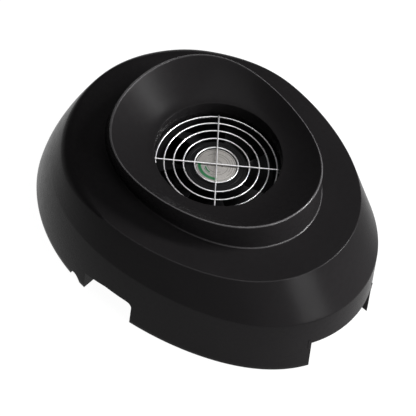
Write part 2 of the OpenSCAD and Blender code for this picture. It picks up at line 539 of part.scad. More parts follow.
housing();
rubber_feet();
fan_gasket();
guard_rings();
guard_spokes();
fan_frame();
motor_plate();
fan_screws();
fan_washers();
impeller();
rotor_ring();
hub_label();
motor_shaft();
shaft_clip();
upper_bearing();
lower_bearing();
stator_core();
stator_coils();
fan_terminals();
earth_screw();
bag_ring();
bag_elastic();
dust_bag();
switch_body();
switch_rocker();
switch_terminals();
inlet_body();
inlet_pins();
inlet_screws();
inlet_nuts();
lead_live();
lead_switched();
lead_neutral();
lead_earth();
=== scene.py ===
# Table-top nail dust collector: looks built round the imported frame. Lengths in the helper code are millimetres.
import bpy, bmesh, math, json
import numpy as np
from mathutils import Vector, Matrix
from mathutils.bvhtree import BVHTree


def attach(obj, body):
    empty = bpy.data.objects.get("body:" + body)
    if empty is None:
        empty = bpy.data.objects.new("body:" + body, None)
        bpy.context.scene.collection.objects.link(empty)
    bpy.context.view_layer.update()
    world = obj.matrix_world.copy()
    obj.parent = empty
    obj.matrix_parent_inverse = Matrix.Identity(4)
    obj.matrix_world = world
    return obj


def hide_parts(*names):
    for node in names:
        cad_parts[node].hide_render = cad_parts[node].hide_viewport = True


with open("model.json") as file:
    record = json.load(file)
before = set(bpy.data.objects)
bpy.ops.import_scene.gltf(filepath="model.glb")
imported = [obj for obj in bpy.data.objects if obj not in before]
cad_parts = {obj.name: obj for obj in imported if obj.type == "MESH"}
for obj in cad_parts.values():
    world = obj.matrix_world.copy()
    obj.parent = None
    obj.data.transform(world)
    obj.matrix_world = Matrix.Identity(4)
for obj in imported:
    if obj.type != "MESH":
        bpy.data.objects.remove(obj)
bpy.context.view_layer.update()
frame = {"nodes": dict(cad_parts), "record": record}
NODE = frame["nodes"]
scene = bpy.context.scene
XS = 1.3            # same origin shift as the design
FX = 3.4            # fan centre before the shift
TURN = -5.6         # fan turn, degrees

# ------------------------------------------------------------------ camera
def make_camera():
    tgt = np.array([9.75, 0.0, 60.0])
    pos = np.array([752.5, -1111.7, 1845.9])
    fwd = tgt - pos
    fwd /= np.linalg.norm(fwd)
    right = np.cross(fwd, [0, 0, 1.0]); right /= np.linalg.norm(right)
    up = np.cross(right, fwd)
    ro = math.radians(9.9)
    r = right * math.cos(ro) + up * math.sin(ro)
    u = -right * math.sin(ro) + up * math.cos(ro)
    f = 2371.96
    fwd = fwd - r * (6.95 / f) - u * (8.47 / f)
    fwd /= np.linalg.norm(fwd)
    r = r - fwd * np.dot(r, fwd); r /= np.linalg.norm(r)
    u = np.cross(r, fwd)
    cd = bpy.data.cameras.new("camera")
    cam = bpy.data.objects.new("camera", cd)
    scene.collection.objects.link(cam)
    cd.sensor_width = 36.0
    cd.lens = f / 416.0 * 36.0
    cd.clip_start, cd.clip_end = 0.05, 50.0
    m = Matrix(((r[0], u[0], -fwd[0], pos[0] / 1000), (r[1], u[1], -fwd[1], pos[1] / 1000),
                (r[2], u[2], -fwd[2], pos[2] / 1000), (0, 0, 0, 1)))
    cam.matrix_world = m
    scene.camera = cam
    return cam

make_camera()

# ------------------------------------------------------------- housing form
BASE_A, BASE_B, TOP_Z, TOP_A, TOP_B, TOP_X, BAND_Z = 182.0, 129.4, 112.3, 145.2, 125.7, 3.0, 70.6
COL_A, COL_B, RIM_A, RIM_B, RIM_Z, RIM_TILT, RIM_SADDLE = 110.3, 85.8, 100.4, 93.2, 140.6, 4.6, 7.0
THR_R, THR_Z, WALL, FLANGE_Z, FOOT = 59.2, 126.4, 3.0, 106.5, 1.0

def oval(t, cx, a, b, k1, k2, k3):
    return np.stack([cx + a * np.cos(t), b * np.sin(t) * (1 + k1 * np.cos(t) + k2 * np.cos(2 * t) + k3 * np.cos(3 * t))], -1)
def base_pt(t): return oval(t, 0, BASE_A, BASE_B, -0.007, -0.003, 0.023)
def top_pt(t): return oval(t, TOP_X, TOP_A, TOP_B, -0.073, 0.037, 0.016)
def collar_pt(t): return oval(t, -0.65, COL_A, COL_B, -0.022, 0.031, 0.004)
def rim_pt(t): return oval(t, FX + 1.1, RIM_A, RIM_B, -0.149, 0.081, -0.002)
def rim_h(t): return RIM_Z - RIM_TILT * np.cos(t) + RIM_SADDLE * np.cos(t) ** 2
def nrm(t, a, b):
    v = np.stack([np.cos(t) / a, np.sin(t) / b], -1)
    return v / np.linalg.norm(v, axis=-1, keepdims=True)
def smoothstep(a, b, x):
    s = np.clip((x - a) / (b - a), 0, 1)
    return s * s * (3 - 2 * s)
def fold(t):
    d = np.degrees(t) % 360
    return np.where(d > 180, 360 - d, d)
def bulge_at(t): return 7.3 + 5.6 * np.cos(t) + 2.4 * np.cos(2 * t) + 0.6 * np.cos(3 * t)
def soft_at(t): return smoothstep(70, 150, fold(t))
def smin(a, b, k):
    h = np.clip(0.5 + 0.5 * (b - a) / k, 0, 1)
    return b * (1 - h) + a * h - k * h * (1 - h)
def bulge_z(t, z):
    f = z / TOP_Z
    tent = smin(z / BAND_Z, (TOP_Z - z) / (TOP_Z - BAND_Z), 0.035)
    arc = 4 * f * (1 - f)
    w = soft_at(t)
    return (tent * (1 - w) + arc * w) * bulge_at(t)
def lift(p, z):
    return np.concatenate([p, np.broadcast_to(np.asarray(z, float), p.shape[:1])[:, None]], 1)
def wall_pt(t, z, inset):
    f = z / TOP_Z
    p = base_pt(t) * (1 - f) + top_pt(t) * f + bulge_z(t, z)[:, None] * np.stack([np.cos(t), np.sin(t)], -1)
    ins = np.broadcast_to(np.asarray(inset, float), t.shape)
    return lift(p - ins[:, None] * nrm(t, BASE_A, BASE_B), z)
def throat_pt(t, r): return np.stack([FX + r * np.cos(t), r * np.sin(t)], -1)
def dish_pt(t, s, dz):
    p = throat_pt(t, THR_R) * (1 - s) + rim_pt(t) * s
    return lift(p, THR_Z + (rim_h(t) - THR_Z) * s ** 1.45 + dz)
def pad(t, z):
    d = np.degrees(t) % 360
    return np.where((np.abs(d - 90) < 19.5) & (31 < z < 73), 4.5, 0.0)

def build_profile(t):
    """Control columns (points, fillet radius, steps) from the outer bottom edge, over the rim, to the inner bottom edge."""
    soft = smoothstep(95, 130, fold(t)) * (1 - 0.6 * smoothstep(150, 178, fold(t)))
    c = []
    add = lambda p, r=0.0, m=1: c.append((p, r * np.ones_like(t), m))
    add(wall_pt(t, FOOT, 0), 0.5, 3)
    for z in (6, 13, 20, 27, 34, 41, 48, 54, 59, 63, 66, 68, 69.2, 70.0, 70.6, 71.2, 72.0, 73.4, 76, 80, 85, 90, 95):
        add(wall_pt(t, z, 0))
    add(lift(top_pt(t), TOP_Z), 1.3 + 14 * soft, 11)
    add(lift(top_pt(t) * 0.5 + collar_pt(t) * 0.5, TOP_Z))
    add(lift(collar_pt(t), TOP_Z), 1.4, 7)
    m2 = 0.5 * (TOP_Z + rim_h(t))
    add(lift(collar_pt(t) * 0.5 + rim_pt(t) * 0.5, m2))
    add(lift(rim_pt(t), rim_h(t)), 1.3 + 1.2 * soft, 9)
    for s in (0.9, 0.82, 0.74, 0.66, 0.58, 0.5, 0.42, 0.34, 0.26, 0.18, 0.11, 0.055):
        add(dish_pt(t, s, 0))
    add(dish_pt(t, 0.0, 0), 1.0, 5)
    add(lift(throat_pt(t, THR_R), 116.0))
    add(lift(throat_pt(t, THR_R), FLANGE_Z), 0.2, 2)
    add(lift(throat_pt(t, THR_R + WALL), FLANGE_Z), 0.2, 2)
    add(lift(throat_pt(t, THR_R + WALL), THR_Z - WALL), 0.6, 3)
    for s in (0.25, 0.45, 0.65, 0.85):
        add(dish_pt(t, s, -WALL))
    add(lift(rim_pt(t) - 4.2 * nrm(t, RIM_A, RIM_B), rim_h(t) - WALL - 2.4), 1.5, 4)
    add(lift((collar_pt(t) * 0.5 + rim_pt(t) * 0.5) - WALL * nrm(t, RIM_A, RIM_B), m2 - 1))
    add(lift(collar_pt(t) - WALL * nrm(t, BASE_A, BASE_B), TOP_Z - WALL), 1.0, 3)
    add(lift(top_pt(t) * 0.45 + collar_pt(t) * 0.55, TOP_Z - WALL))
    add(lift(top_pt(t) - 5 * nrm(t, BASE_A, BASE_B), TOP_Z - WALL), 3.0, 4)
    for z in (104, 96, 88, 80, 73.2, 72.8, 66, 60, 54, 48, 40, 31.2, 30.8, 22, 14):
        add(wall_pt(t, z, WALL + pad(t, z)))
    add(wall_pt(t, FOOT, WALL), 0.5, 3)
    return c

def round_profile(cols):
    """Replaces each control point that has a fillet by an arc-like run of points."""
    P = [c[0] for c in cols]
    n = len(P)
    out = []
    # per-point weight of the painted edge highlight, stored later as the shell's edge attribute
    painted_edge_highlight = []
    for i in range(n):
        p, r, m = cols[i]
        if m == 1:
            out.append(p)
            painted_edge_highlight.append(np.zeros(len(p)))
            continue
        a, b = P[(i - 1) % n], P[(i + 1) % n]
        u, v = a - p, b - p
        lu, lv = np.linalg.norm(u, axis=1), np.linalg.norm(v, axis=1)
        u, v = u / lu[:, None], v / lv[:, None]
        ang = np.arccos(np.clip((u * v).sum(1), -0.9999, 0.9999))
        d = r / np.tan(ang / 2)
        d = np.minimum(d, 0.47 * np.minimum(lu, lv) if i not in SOFT_CORNERS else 0.9 * np.minimum(lu, lv))
        s, e = p + u * d[:, None], p + v * d[:, None]
        # rational quadratic, so the run is a true circular arc
        w = np.sin(ang / 2)[:, None]
        for k in range(m):
            f = k / (m - 1)
            b0, b1, b2 = (1 - f) ** 2, 2 * f * (1 - f) * w, f * f
            out.append((b0 * s + b1 * p + b2 * e) / (b0 + b1 + b2))
            # painted highlight: only the crisp outer fillets get a bright line, strongest at the rim and, at the collar
            # base, towards +X
            amount = {11: 0.10, 9: 0.6, 7: 0.04 + 0.36 * smoothstep(95, 35, fold(np.arange(len(p)) * 2 * math.pi / len(p)))}.get(m, 0.0)
            painted_edge_highlight.append(np.clip(3.2 - r, 0, 1) * math.sin(math.pi * f) * amount)
    return out, painted_edge_highlight

def new_object(name, verts, faces, mm=True):
    me = bpy.data.meshes.new(name)
    v = np.asarray(verts, float) / (1000.0 if mm else 1.0)
    me.from_pydata([tuple(x) for x in v], [], [tuple(int(i) for i in f) for f in faces])
    me.validate()
    me.update()
    o = bpy.data.objects.new(name, me)
    scene.collection.objects.link(o)
    return o

def ring_mesh(name, cols):
    """Closed ring-shaped skin through columns of points; the last joins the first."""
    n, m = len(cols), len(cols[0])
    verts = np.concatenate(cols, 0)
    i = np.arange(n)[:, None]; j = np.arange(m)[None, :]
    i1, j1 = (i + 1) % n, (j + 1) % m
    q = np.stack([i * m + j, i * m + j1, i1 * m + j1, i1 * m + j], -1).reshape(-1, 4)
    return new_object(name, verts, q)

# primitive cutters and adders, in millimetres
def prim_box(lo, hi):
    x0, y0, z0 = lo; x1, y1, z1 = hi
    v = [(x0, y0, z0), (x1, y0, z0), (x1, y1, z0), (x0, y1, z0), (x0, y0, z1), (x1, y0, z1), (x1, y1, z1), (x0, y1, z1)]
    f = [(0, 3, 2, 1), (4, 5, 6, 7), (0, 1, 5, 4), (1, 2, 6, 5), (2, 3, 7, 6), (3, 0, 4, 7)]
    return np.array(v, float), f
def prim_prism(poly, h0, h1, axis="Z"):
    """Extrudes a closed outline (counter-clockwise) from h0 to h1 along Z, or along Y with the outline in X and Z."""
    n = len(poly)
    v = [(x, y, h0) for x, y in poly] + [(x, y, h1) for x, y in poly]
    f = [tuple(range(n - 1, -1, -1)), tuple(range(n, 2 * n))] + [(i, (i + 1) % n, (i + 1) % n + n, i + n) for i in range(n)]
    v = np.array(v, float)
    if axis == "Y":
        v = v[:, [0, 2, 1]]
        f = [tuple(reversed(q)) for q in f]
    return v, f
def circle_pts(cx, cy, r, n=48, a0=0.0, a1=360.0, closed=True):
    k = np.arange(n) / (n if closed else n - 1)
    a = np.radians(a0 + (a1 - a0) * k)
    return [(cx + r * math.cos(x), cy + r * math.sin(x)) for x in a]
def prim_cyl(cx, cy, z0, z1, r, n=64, axis="Z"):
    return prim_prism(circle_pts(cx, cy, r, n), z0, z1, axis)
def prim_flange(h, r, hole, z0, z1, n=144):
    """Square plate of half-width h with rounded corners and a round hole."""
    a = np.arange(n) * 2 * math.pi / n
    d = np.stack([np.cos(a), np.sin(a)], -1)
    lo, hi = np.zeros(n), np.full(n, 2.0 * h)
    for _ in range(40):
        mid = (lo + hi) / 2
        q = np.abs(d * mid[:, None]) - (h - r)
        far = np.linalg.norm(np.maximum(q, 0), axis=1) + np.minimum(q.max(1), 0) - r
        lo, hi = np.where(far < 0, mid, lo), np.where(far < 0, hi, mid)
    out, inn = d * lo[:, None], d * hole
    v = np.concatenate([lift(out, z0), lift(out, z1), lift(inn, z0), lift(inn, z1)])
    f = []
    for i in range(n):
        j = (i + 1) % n
        f += [(i, j, n + j, n + i), (n + i, n + j, 3 * n + j, 3 * n + i), (3 * n + i, 3 * n + j, 2 * n + j, 2 * n + i), (2 * n + i, 2 * n + j, j, i)]
    return v, f
def turned(prim, deg=TURN, cx=FX):
    v, f = prim
    a = math.radians(deg)
    w = v.copy()
    w[:, 0] = v[:, 0] * math.cos(a) - v[:, 1] * math.sin(a) + cx
    w[:, 1] = v[:, 0] * math.sin(a) + v[:, 1] * math.cos(a)
    return w, f
def mirrored(prim):
    v, f = prim
    w = v.copy(); w[:, 1] *= -1
    return w, [tuple(reversed(q)) for q in f]
def rounded_rect(w, h, r, n=8, cx=0.0, cy=0.0):
    pts = []
    for sx, sy, a in ((1, 1, 0), (-1, 1, 90), (-1, -1, 180), (1, -1, 270)):
        pts += circle_pts(cx + sx * (w / 2 - r), cy + sy * (h / 2 - r), r, n, a, a + 90, closed=False)
    return pts

def evaluated_mesh(o):
    dg = bpy.context.evaluated_depsgraph_get()
    dg.update()
    e = o.evaluated_get(dg)
    return bpy.data.meshes.new_from_object(e, preserve_all_data_layers=True, depsgraph=dg)

def booleans(o, ops, solver="MANIFOLD"):
    tools = []
    for kind, (v, f) in ops:
        c = new_object("tool", v, f)
        tools.append(c)
        md = o.modifiers.new("b", "BOOLEAN")
        md.operation = kind
        md.solver = solver
        md.object = c
    me = evaluated_mesh(o)
    old = o.data
    o.modifiers.clear()
    o.data = me
    bpy.data.meshes.remove(old)
    for c in tools:
        m = c.data
        bpy.data.objects.remove(c)
        bpy.data.meshes.remove(m)
    return o

def shift(o, dx=XS):
    o.data.transform(Matrix.Translation((dx / 1000.0, 0, 0)))
    o.data.update()

def smooth(o, angle=28.0):
    o.data.shade_smooth()
    o.data.set_sharp_from_angle(angle=math.radians(angle))

FEET = [(-40.2, -117.5), (29.8, -117), (-40.2, 117.5), (29.8, 117), (153.5, -52.5), (153.5, 52.5), (-160, -44), (-160, 44)]
N0, N1, NH, EN, ENH, LEG_H = -34.0, 22.5, 30.5, 43.0, 36.5, 38.0
PY, PIN = 125.5, 122.3
INLET, SWITCH = (-18.0, 52.0), (25.0, 52.0)
SOFT_CORNERS = set()

def keep_normals(o, verts, polys, vn, painted_highlight_weight, near=0.00003, within=0.80):
    """Gives cut faces back the smooth normals of the uncut skin, so long slivers left by the cuts don't streak."""
    tree = BVHTree.FromPolygons(verts, polys)
    me = o.data
    at = {}
    edge = np.zeros(len(me.vertices))
    for v in me.vertices:
        loc, nor, idx, dist = tree.find_nearest(v.co, 0.001)
        if idx is None or dist > near:
            continue
        acc = Vector((0, 0, 0))
        ws = we = 0.0
        for i in polys[idx]:
            w = 1.0 / ((Vector(verts[i]) - loc).length + 1e-7) ** 2
            acc += Vector(vn[i]) * w
            ws += w
            we += painted_highlight_weight[i] * w
        at[v.index] = acc.normalized()
        edge[v.index] = we / ws
    # copies the painted edge-highlight weight onto the cut shell as the edge attribute
    me.attributes.new("edge", "FLOAT", "POINT").data.foreach_set("value", edge)
    out = []
    for q in me.polygons:
        fn = q.normal
        for vi in q.vertices:
            n = at.get(vi)
            out.append(n if n is not None and n.dot(fn) > within else (0.0, 0.0, 0.0))
    me.normals_split_custom_set(out)

def side_notch():
    # sloped top towards the left end, rounded corners at the right end
    pts = [(N0, -5), (N1, -5)] + circle_pts(N1 - 6, NH - 6, 6, 10, 0, 90, closed=False) + [(-8, NH), (N0, NH - 6)]
    return prim_prism(pts, -150, -100, "Y")
def nick():
    pts = [(-54.5, -5), (-40.5, -5), (-40.5, 0.5), (-41.5, 2.4), (-42.8, 4), (-44.0, 5.5), (-45.2, 6.6), (-46.8, 7.6), (-48.5, 8), (-50.3, 7.8), (-51.8, 7.1), (-53.1, 6.0), (-54, 4.3), (-54.4, 2.2)]
    return prim_prism(pts, -152, -122, "Y")
def end_block():
    return prim_prism([(N1, -126.5), (N1 + 14, -123.4), (N1 + 14, -109.5), (N1, -111.5)], FOOT, FOOT + LEG_H)

def make_housing():
    global SOFT_CORNERS
    n = 384
    t = np.arange(n) * 2 * math.pi / n
    cols = build_profile(t)
    SOFT_CORNERS = {i for i, c in enumerate(cols) if c[2] == 11}
    rings, painted_edge_highlight = round_profile(cols)
    o = ring_mesh("housing_shell", rings)
    skin_v = [tuple(v.co) for v in o.data.vertices]
    skin_p = [tuple(q.vertices) for q in o.data.polygons]
    skin_n = [tuple(x.vector) for x in o.data.vertex_normals]
    # painted edge-highlight weights of the uncut skin
    skin_w = np.concatenate(painted_edge_highlight)
    U, D = "UNION", "DIFFERENCE"
    ops = []
    # flange and bosses
    ops.append((U, turned(prim_flange(61, 6, THR_R + 1.5, FLANGE_Z, FLANGE_Z + 3))))
    for k in range(4):
        a = math.radians(45 + 90 * k)
        r = 52.5 * math.sqrt(2)
        ops.append((U, turned(prim_cyl(r * math.cos(a), r * math.sin(a), FLANGE_Z, FLANGE_Z + 22.2, 5, 48))))
    for s in (0, 1):
        m = mirrored if s else (lambda p: p)
        ops.append((U, m(prim_prism([(N0 - 12.5, -126.9), (N0, -128.2), (N0, -110.8), (N0 - 12.5, -110.8)], FOOT, FOOT + LEG_H))))
        ops.append((U, m(end_block())))
        ops.append((U, m(prim_box((150, -EN - 3, FOOT), (168.5, -EN, FOOT + ENH + 4)))))
    for x, y in FEET[4:]:
        ops.append((U, prim_cyl(x, y, FOOT, FOOT + 10, 7.5, 48)))
    ops += [(D, side_notch()), (D, mirrored(side_notch())), (D, nick()), (D, mirrored(nick()))]
    ops.append((D, prim_box((120, -EN, -5), (200, EN, ENH))))
    for k in range(4):
        a = math.radians(45 + 90 * k)
        r = 52.5 * math.sqrt(2)
        ops.append((D, turned(prim_cyl(r * math.cos(a), r * math.sin(a), FLANGE_Z - 1, FLANGE_Z + 15, 2.02, 32))))
    ops.append((D, prim_box((-46, PY, 36), (46, PY + 20, 68))))
    ops.append((D, prim_box((-46, 100, 35), (46, PIN, 69))))
    ops.append((D, prim_box((INLET[0] - 13.6, 110, INLET[1] - 10.1), (INLET[0] + 13.6, 140, INLET[1] + 10.1))))
    ops.append((D, prim_box((SWITCH[0] - 6.5, 110, SWITCH[1] - 9.7), (SWITCH[0] + 6.5, 140, SWITCH[1] + 9.7))))
    for s in (-1, 1):
        ops.append((D, prim_cyl(INLET[0] + 20 * s, INLET[1], 110, 140, 1.7, 32, "Y")))
    for x, y in FEET:
        ops.append((D, prim_cyl(x, y, FOOT - 1, FOOT + 2, 4.52, 48)))
    booleans(o, ops)
    smooth(o, 30)
    keep_normals(o, skin_v, skin_p, skin_n, skin_w)
    shift(o)
    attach(o, "casing")
    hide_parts("housing")
    return o

# --------------------------------------------------------------- materials
def mat(name):
    m = bpy.data.materials.new(name)
    m.use_nodes = True
    nt = m.node_tree
    b = nt.nodes["Principled BSDF"]
    return m, nt, b
def N(nt, kind, **kw):
    n = nt.nodes.new(kind)
    for k, v in kw.items():
        setattr(n, k, v)
    return n
def L(nt, a, b): nt.links.new(a, b)
def coords(nt, scale=(1, 1, 1)):
    tc = N(nt, "ShaderNodeTexCoord")
    mp = N(nt, "ShaderNodeMapping")
    mp.inputs["Scale"].default_value = scale
    L(nt, tc.outputs["Object"], mp.inputs["Vector"])
    return mp.outputs["Vector"]
def noise_tex(nt, vec, scale, detail=3.0, rough=0.5):
    n = N(nt, "ShaderNodeTexNoise")
    n.inputs["Scale"].default_value = scale
    n.inputs["Detail"].default_value = detail
    n.inputs["Roughness"].default_value = rough
    L(nt, vec, n.inputs["Vector"])
    return n.outputs["Fac"]
def ramp(nt, fac, p0, c0, p1, c1):
    r = N(nt, "ShaderNodeValToRGB")
    r.color_ramp.elements[0].position = p0
    r.color_ramp.elements[0].color = (*c0, 1) if len(c0) == 3 else c0
    r.color_ramp.elements[1].position = p1
    r.color_ramp.elements[1].color = (*c1, 1) if len(c1) == 3 else c1
    L(nt, fac, r.inputs["Fac"])
    return r.outputs["Color"]
def maprange(nt, fac, a, b, c, d):
    m = N(nt, "ShaderNodeMapRange")
    for k, v in zip(("From Min", "From Max", "To Min", "To Max"), (a, b, c, d)):
        m.inputs[k].default_value = v
    L(nt, fac, m.inputs["Value"])
    return m.outputs["Result"]
def bump(nt, height, strength, dist, normal=None):
    b = N(nt, "ShaderNodeBump")
    b.inputs["Strength"].default_value = strength
    b.inputs["Distance"].default_value = dist
    L(nt, height, b.inputs["Height"])
    if normal is not None:
        L(nt, normal, b.inputs["Normal"])
    return b.outputs["Normal"]

def plastic(name, base, rough, grain=0.00004, grain_scale=2200, spread=0.05, spec=0.5):
    m, nt, b = mat(name)
    v = coords(nt)
    fine = noise_tex(nt, v, grain_scale, 2.0, 0.6)
    big = noise_tex(nt, v, 14, 4.0, 0.55)
    mid = noise_tex(nt, v, 160, 3.0, 0.5)
    lo = tuple(c * 0.82 for c in base); hi = tuple(min(1, c * 1.22 + 0.001) for c in base)
    L(nt, ramp(nt, big, 0.3, lo, 0.7, hi), b.inputs["Base Color"])
    mix = N(nt, "ShaderNodeMath", operation="MULTIPLY_ADD")
    L(nt, mid, mix.inputs[0]); mix.inputs[1].default_value = 0.5; L(nt, big, mix.inputs[2])
    L(nt, maprange(nt, mix.outputs[0], 0.45, 1.05, rough - spread, rough + spread), b.inputs["Roughness"])
    L(nt, bump(nt, fine, 0.35, grain), b.inputs["Normal"])
    b.inputs["Specular IOR Level"].default_value = spec
    return m

def metal(name, base, rough, metallic=1.0, streak=None, grain=0.00002):
    m, nt, b = mat(name)
    v = coords(nt, streak or (1, 1, 1))
    n1 = noise_tex(nt, v, 900, 3.0, 0.6)
    n2 = noise_tex(nt, coords(nt), 60, 4.0, 0.6)
    lo = tuple(c * 0.86 for c in base); hi = tuple(min(1, c * 1.08) for c in base)
    L(nt, ramp(nt, n2, 0.3, lo, 0.7, hi), b.inputs["Base Color"])
    b.inputs["Metallic"].default_value = metallic
    L(nt, maprange(nt, n1, 0.3, 0.7, max(0.03, rough - 0.06), rough + 0.08), b.inputs["Roughness"])
    L(nt, bump(nt, n1, 0.25, grain), b.inputs["Normal"])
    return m

MAT = {}

def abs_shell():
    """Moulded black ABS: satin, fine grain, faint flow variation, and a painted highlight that lifts the crisp edges to
    light grey.
    """
    m, nt, b = mat("black_abs_satin")
    v = coords(nt)
    big = noise_tex(nt, v, 9, 4.0, 0.55)
    mid = noise_tex(nt, v, 150, 3.0, 0.5)
    fine = noise_tex(nt, v, 1900, 2.0, 0.6)
    base = ramp(nt, big, 0.25, (0.0068, 0.0064, 0.0067), 0.75, (0.0088, 0.0082, 0.0086))
    # painted highlight: the edge weight, broken up by noise, mixes the base colour towards light grey and raises the
    # specular level
    edge = N(nt, "ShaderNodeAttribute", attribute_name="edge")
    painted_highlight_mask = N(nt, "ShaderNodeMath", operation="MULTIPLY")
    L(nt, edge.outputs["Fac"], painted_highlight_mask.inputs[0]); L(nt, maprange(nt, mid, 0.3, 0.6, 0.88, 1.0), painted_highlight_mask.inputs[1])
    mix = N(nt, "ShaderNodeMix", data_type="RGBA")
    L(nt, painted_highlight_mask.outputs[0], mix.inputs[0])
    L(nt, base, mix.inputs[6]); mix.inputs[7].default_value = (0.085, 0.082, 0.085, 1)
    L(nt, mix.outputs[2], b.inputs["Base Color"])
    L(nt, maprange(nt, painted_highlight_mask.outputs[0], 0, 1, 0.018, 0.45), b.inputs["Specular IOR Level"])
    L(nt, maprange(nt, mid, 0.3, 0.7, 0.25, 0.30), b.inputs["Roughness"])
    L(nt, bump(nt, fine, 0.25, 0.00003), b.inputs["Normal"])
    return m

def label_print():
    """Brushed silver disc with printed rings and a plain green arc; no lettering."""
    m, nt, b = mat("label_silver_print")
    tc = N(nt, "ShaderNodeTexCoord")
    mp = N(nt, "ShaderNodeMapping")
    mp.inputs["Location"].default_value = (-(FX + XS), 0, 0)
    mp.inputs["Scale"].default_value = (1000, 1000, 0)
    mp.inputs["Location"].default_value = (-(FX + XS), 0, 0)
    L(nt, tc.outputs["Object"], mp.inputs["Vector"])
    sep = N(nt, "ShaderNodeSeparateXYZ"); L(nt, mp.outputs["Vector"], sep.inputs[0])
    ln = N(nt, "ShaderNodeVectorMath", operation="LENGTH"); L(nt, mp.outputs["Vector"], ln.inputs[0])
    r = ln.outputs["Value"]
    at = N(nt, "ShaderNodeMath", operation="ARCTAN2"); L(nt, sep.outputs["Y"], at.inputs[0]); L(nt, sep.outputs["X"], at.inputs[1])
    ang = at.outputs[0]
    def band(x, lo, hi, soft):
        u = maprange(nt, x, lo - soft, lo + soft, 0, 1); w = maprange(nt, x, hi - soft, hi + soft, 1, 0)
        q = N(nt, "ShaderNodeMath", operation="MULTIPLY"); L(nt, u, q.inputs[0]); L(nt, w, q.inputs[1])
        return q.outputs[0]
    def both(x, y):
        q = N(nt, "ShaderNodeMath", operation="MULTIPLY"); L(nt, x, q.inputs[0]); L(nt, y, q.inputs[1])
        return q.outputs[0]
    def either(x, y):
        q = N(nt, "ShaderNodeMath", operation="MAXIMUM"); L(nt, x, q.inputs[0]); L(nt, y, q.inputs[1])
        return q.outputs[0]
    d = math.radians
    lines = band(r, 17.3, 17.65, 0.1)
    for lo, hi, a0, a1 in ((13.1, 13.45, 10, 168), (10.9, 11.2, -60, 120), (8.0, 8.35, -150, -20), (5.4, 5.9, 20, 150), (15.2, 15.5, -10, 70), (11.6, 12.0, -120, -65)):
        lines = either(lines, both(band(r, lo, hi, 0.1), band(ang, d(a0), d(a1), 0.03)))
    n = noise_tex(nt, coords(nt), 700, 3, 0.6)
    n2 = noise_tex(nt, coords(nt, (1, 6, 1)), 500, 3, 0.6)
    silver = ramp(nt, n2, 0.3, (0.21, 0.201, 0.190), 0.7, (0.31, 0.298, 0.283))
    mx = N(nt, "ShaderNodeMix", data_type="RGBA"); L(nt, lines, mx.inputs[0]); L(nt, silver, mx.inputs[6])
    mx.inputs[7].default_value = (0.05, 0.048, 0.047, 1)
    green = either(both(band(r, 14.3, 17.1, 0.12), band(ang, d(-146), d(-46), 0.03)), both(band(r, 9.6, 11.0, 0.12), band(ang, d(-128), d(-84), 0.03)))
    mg = N(nt, "ShaderNodeMix", data_type="RGBA"); L(nt, green, mg.inputs[0]); L(nt, mx.outputs[2], mg.inputs[6])
    mg.inputs[7].default_value = (0.006, 0.11, 0.035, 1)
    L(nt, mg.outputs[2], b.inputs["Base Color"])
    b.inputs["Metallic"].default_value = 0.35
    L(nt, maprange(nt, n, 0.3, 0.7, 0.34, 0.46), b.inputs["Roughness"])
    L(nt, bump(nt, lines, 0.3, 0.00005), b.inputs["Normal"])
    return m

def cloth_mat(name, base, scale=900.0, sheen=0.25):
    m, nt, b = mat(name)
    v = coords(nt)
    w1 = N(nt, "ShaderNodeTexWave", wave_type="BANDS", bands_direction="X"); w2 = N(nt, "ShaderNodeTexWave", wave_type="BANDS", bands_direction="Y")
    for w in (w1, w2):
        w.inputs["Scale"].default_value = scale / 6.283
        w.inputs["Distortion"].default_value = 0.6
        w.inputs["Detail"].default_value = 1.0
        L(nt, v, w.inputs["Vector"])
    mx = N(nt, "ShaderNodeMath", operation="MAXIMUM"); L(nt, w1.outputs["Fac"], mx.inputs[0]); L(nt, w2.outputs["Fac"], mx.inputs[1])
    big = noise_tex(nt, v, 26, 4.0, 0.6)
    fuzz = noise_tex(nt, v, 1500, 3.0, 0.7)
    lo = tuple(c * 0.65 for c in base); hi = tuple(c * 1.35 for c in base)
    L(nt, ramp(nt, big, 0.3, lo, 0.7, hi), b.inputs["Base Color"])
    b.inputs["Roughness"].default_value = 0.92
    b.inputs["Sheen Weight"].default_value = sheen
    b.inputs["Sheen Roughness"].default_value = 0.45
    b.inputs["Specular IOR Level"].default_value = 0.2
    n1 = bump(nt, mx.outputs[0], 0.5, 0.00025)
    L(nt, bump(nt, fuzz, 0.35, 0.0002, n1), b.inputs["Normal"])
    return m

def striped(name, base, axis, pitch, rough, metallic, dist=0.00008):
    """Wound wire or stacked sheets: fine bands along one axis."""
    m, nt, b = mat(name)
    v = coords(nt)
    w = N(nt, "ShaderNodeTexWave", wave_type="BANDS", bands_direction=axis)
    w.inputs["Scale"].default_value = 1.0 / pitch / 3.0
    w.inputs["Distortion"].default_value = 0.4
    L(nt, v, w.inputs["Vector"])
    big = noise_tex(nt, v, 60, 4.0, 0.6)
    lo = tuple(c * 0.75 for c in base); hi = tuple(min(1, c * 1.2) for c in base)
    L(nt, ramp(nt, big, 0.3, lo, 0.7, hi), b.inputs["Base Color"])
    b.inputs["Metallic"].default_value = metallic
    L(nt, maprange(nt, big, 0.3, 0.7, rough - 0.05, rough + 0.08), b.inputs["Roughness"])
    L(nt, bump(nt, w.outputs["Fac"], 0.7, dist), b.inputs["Normal"])
    return m

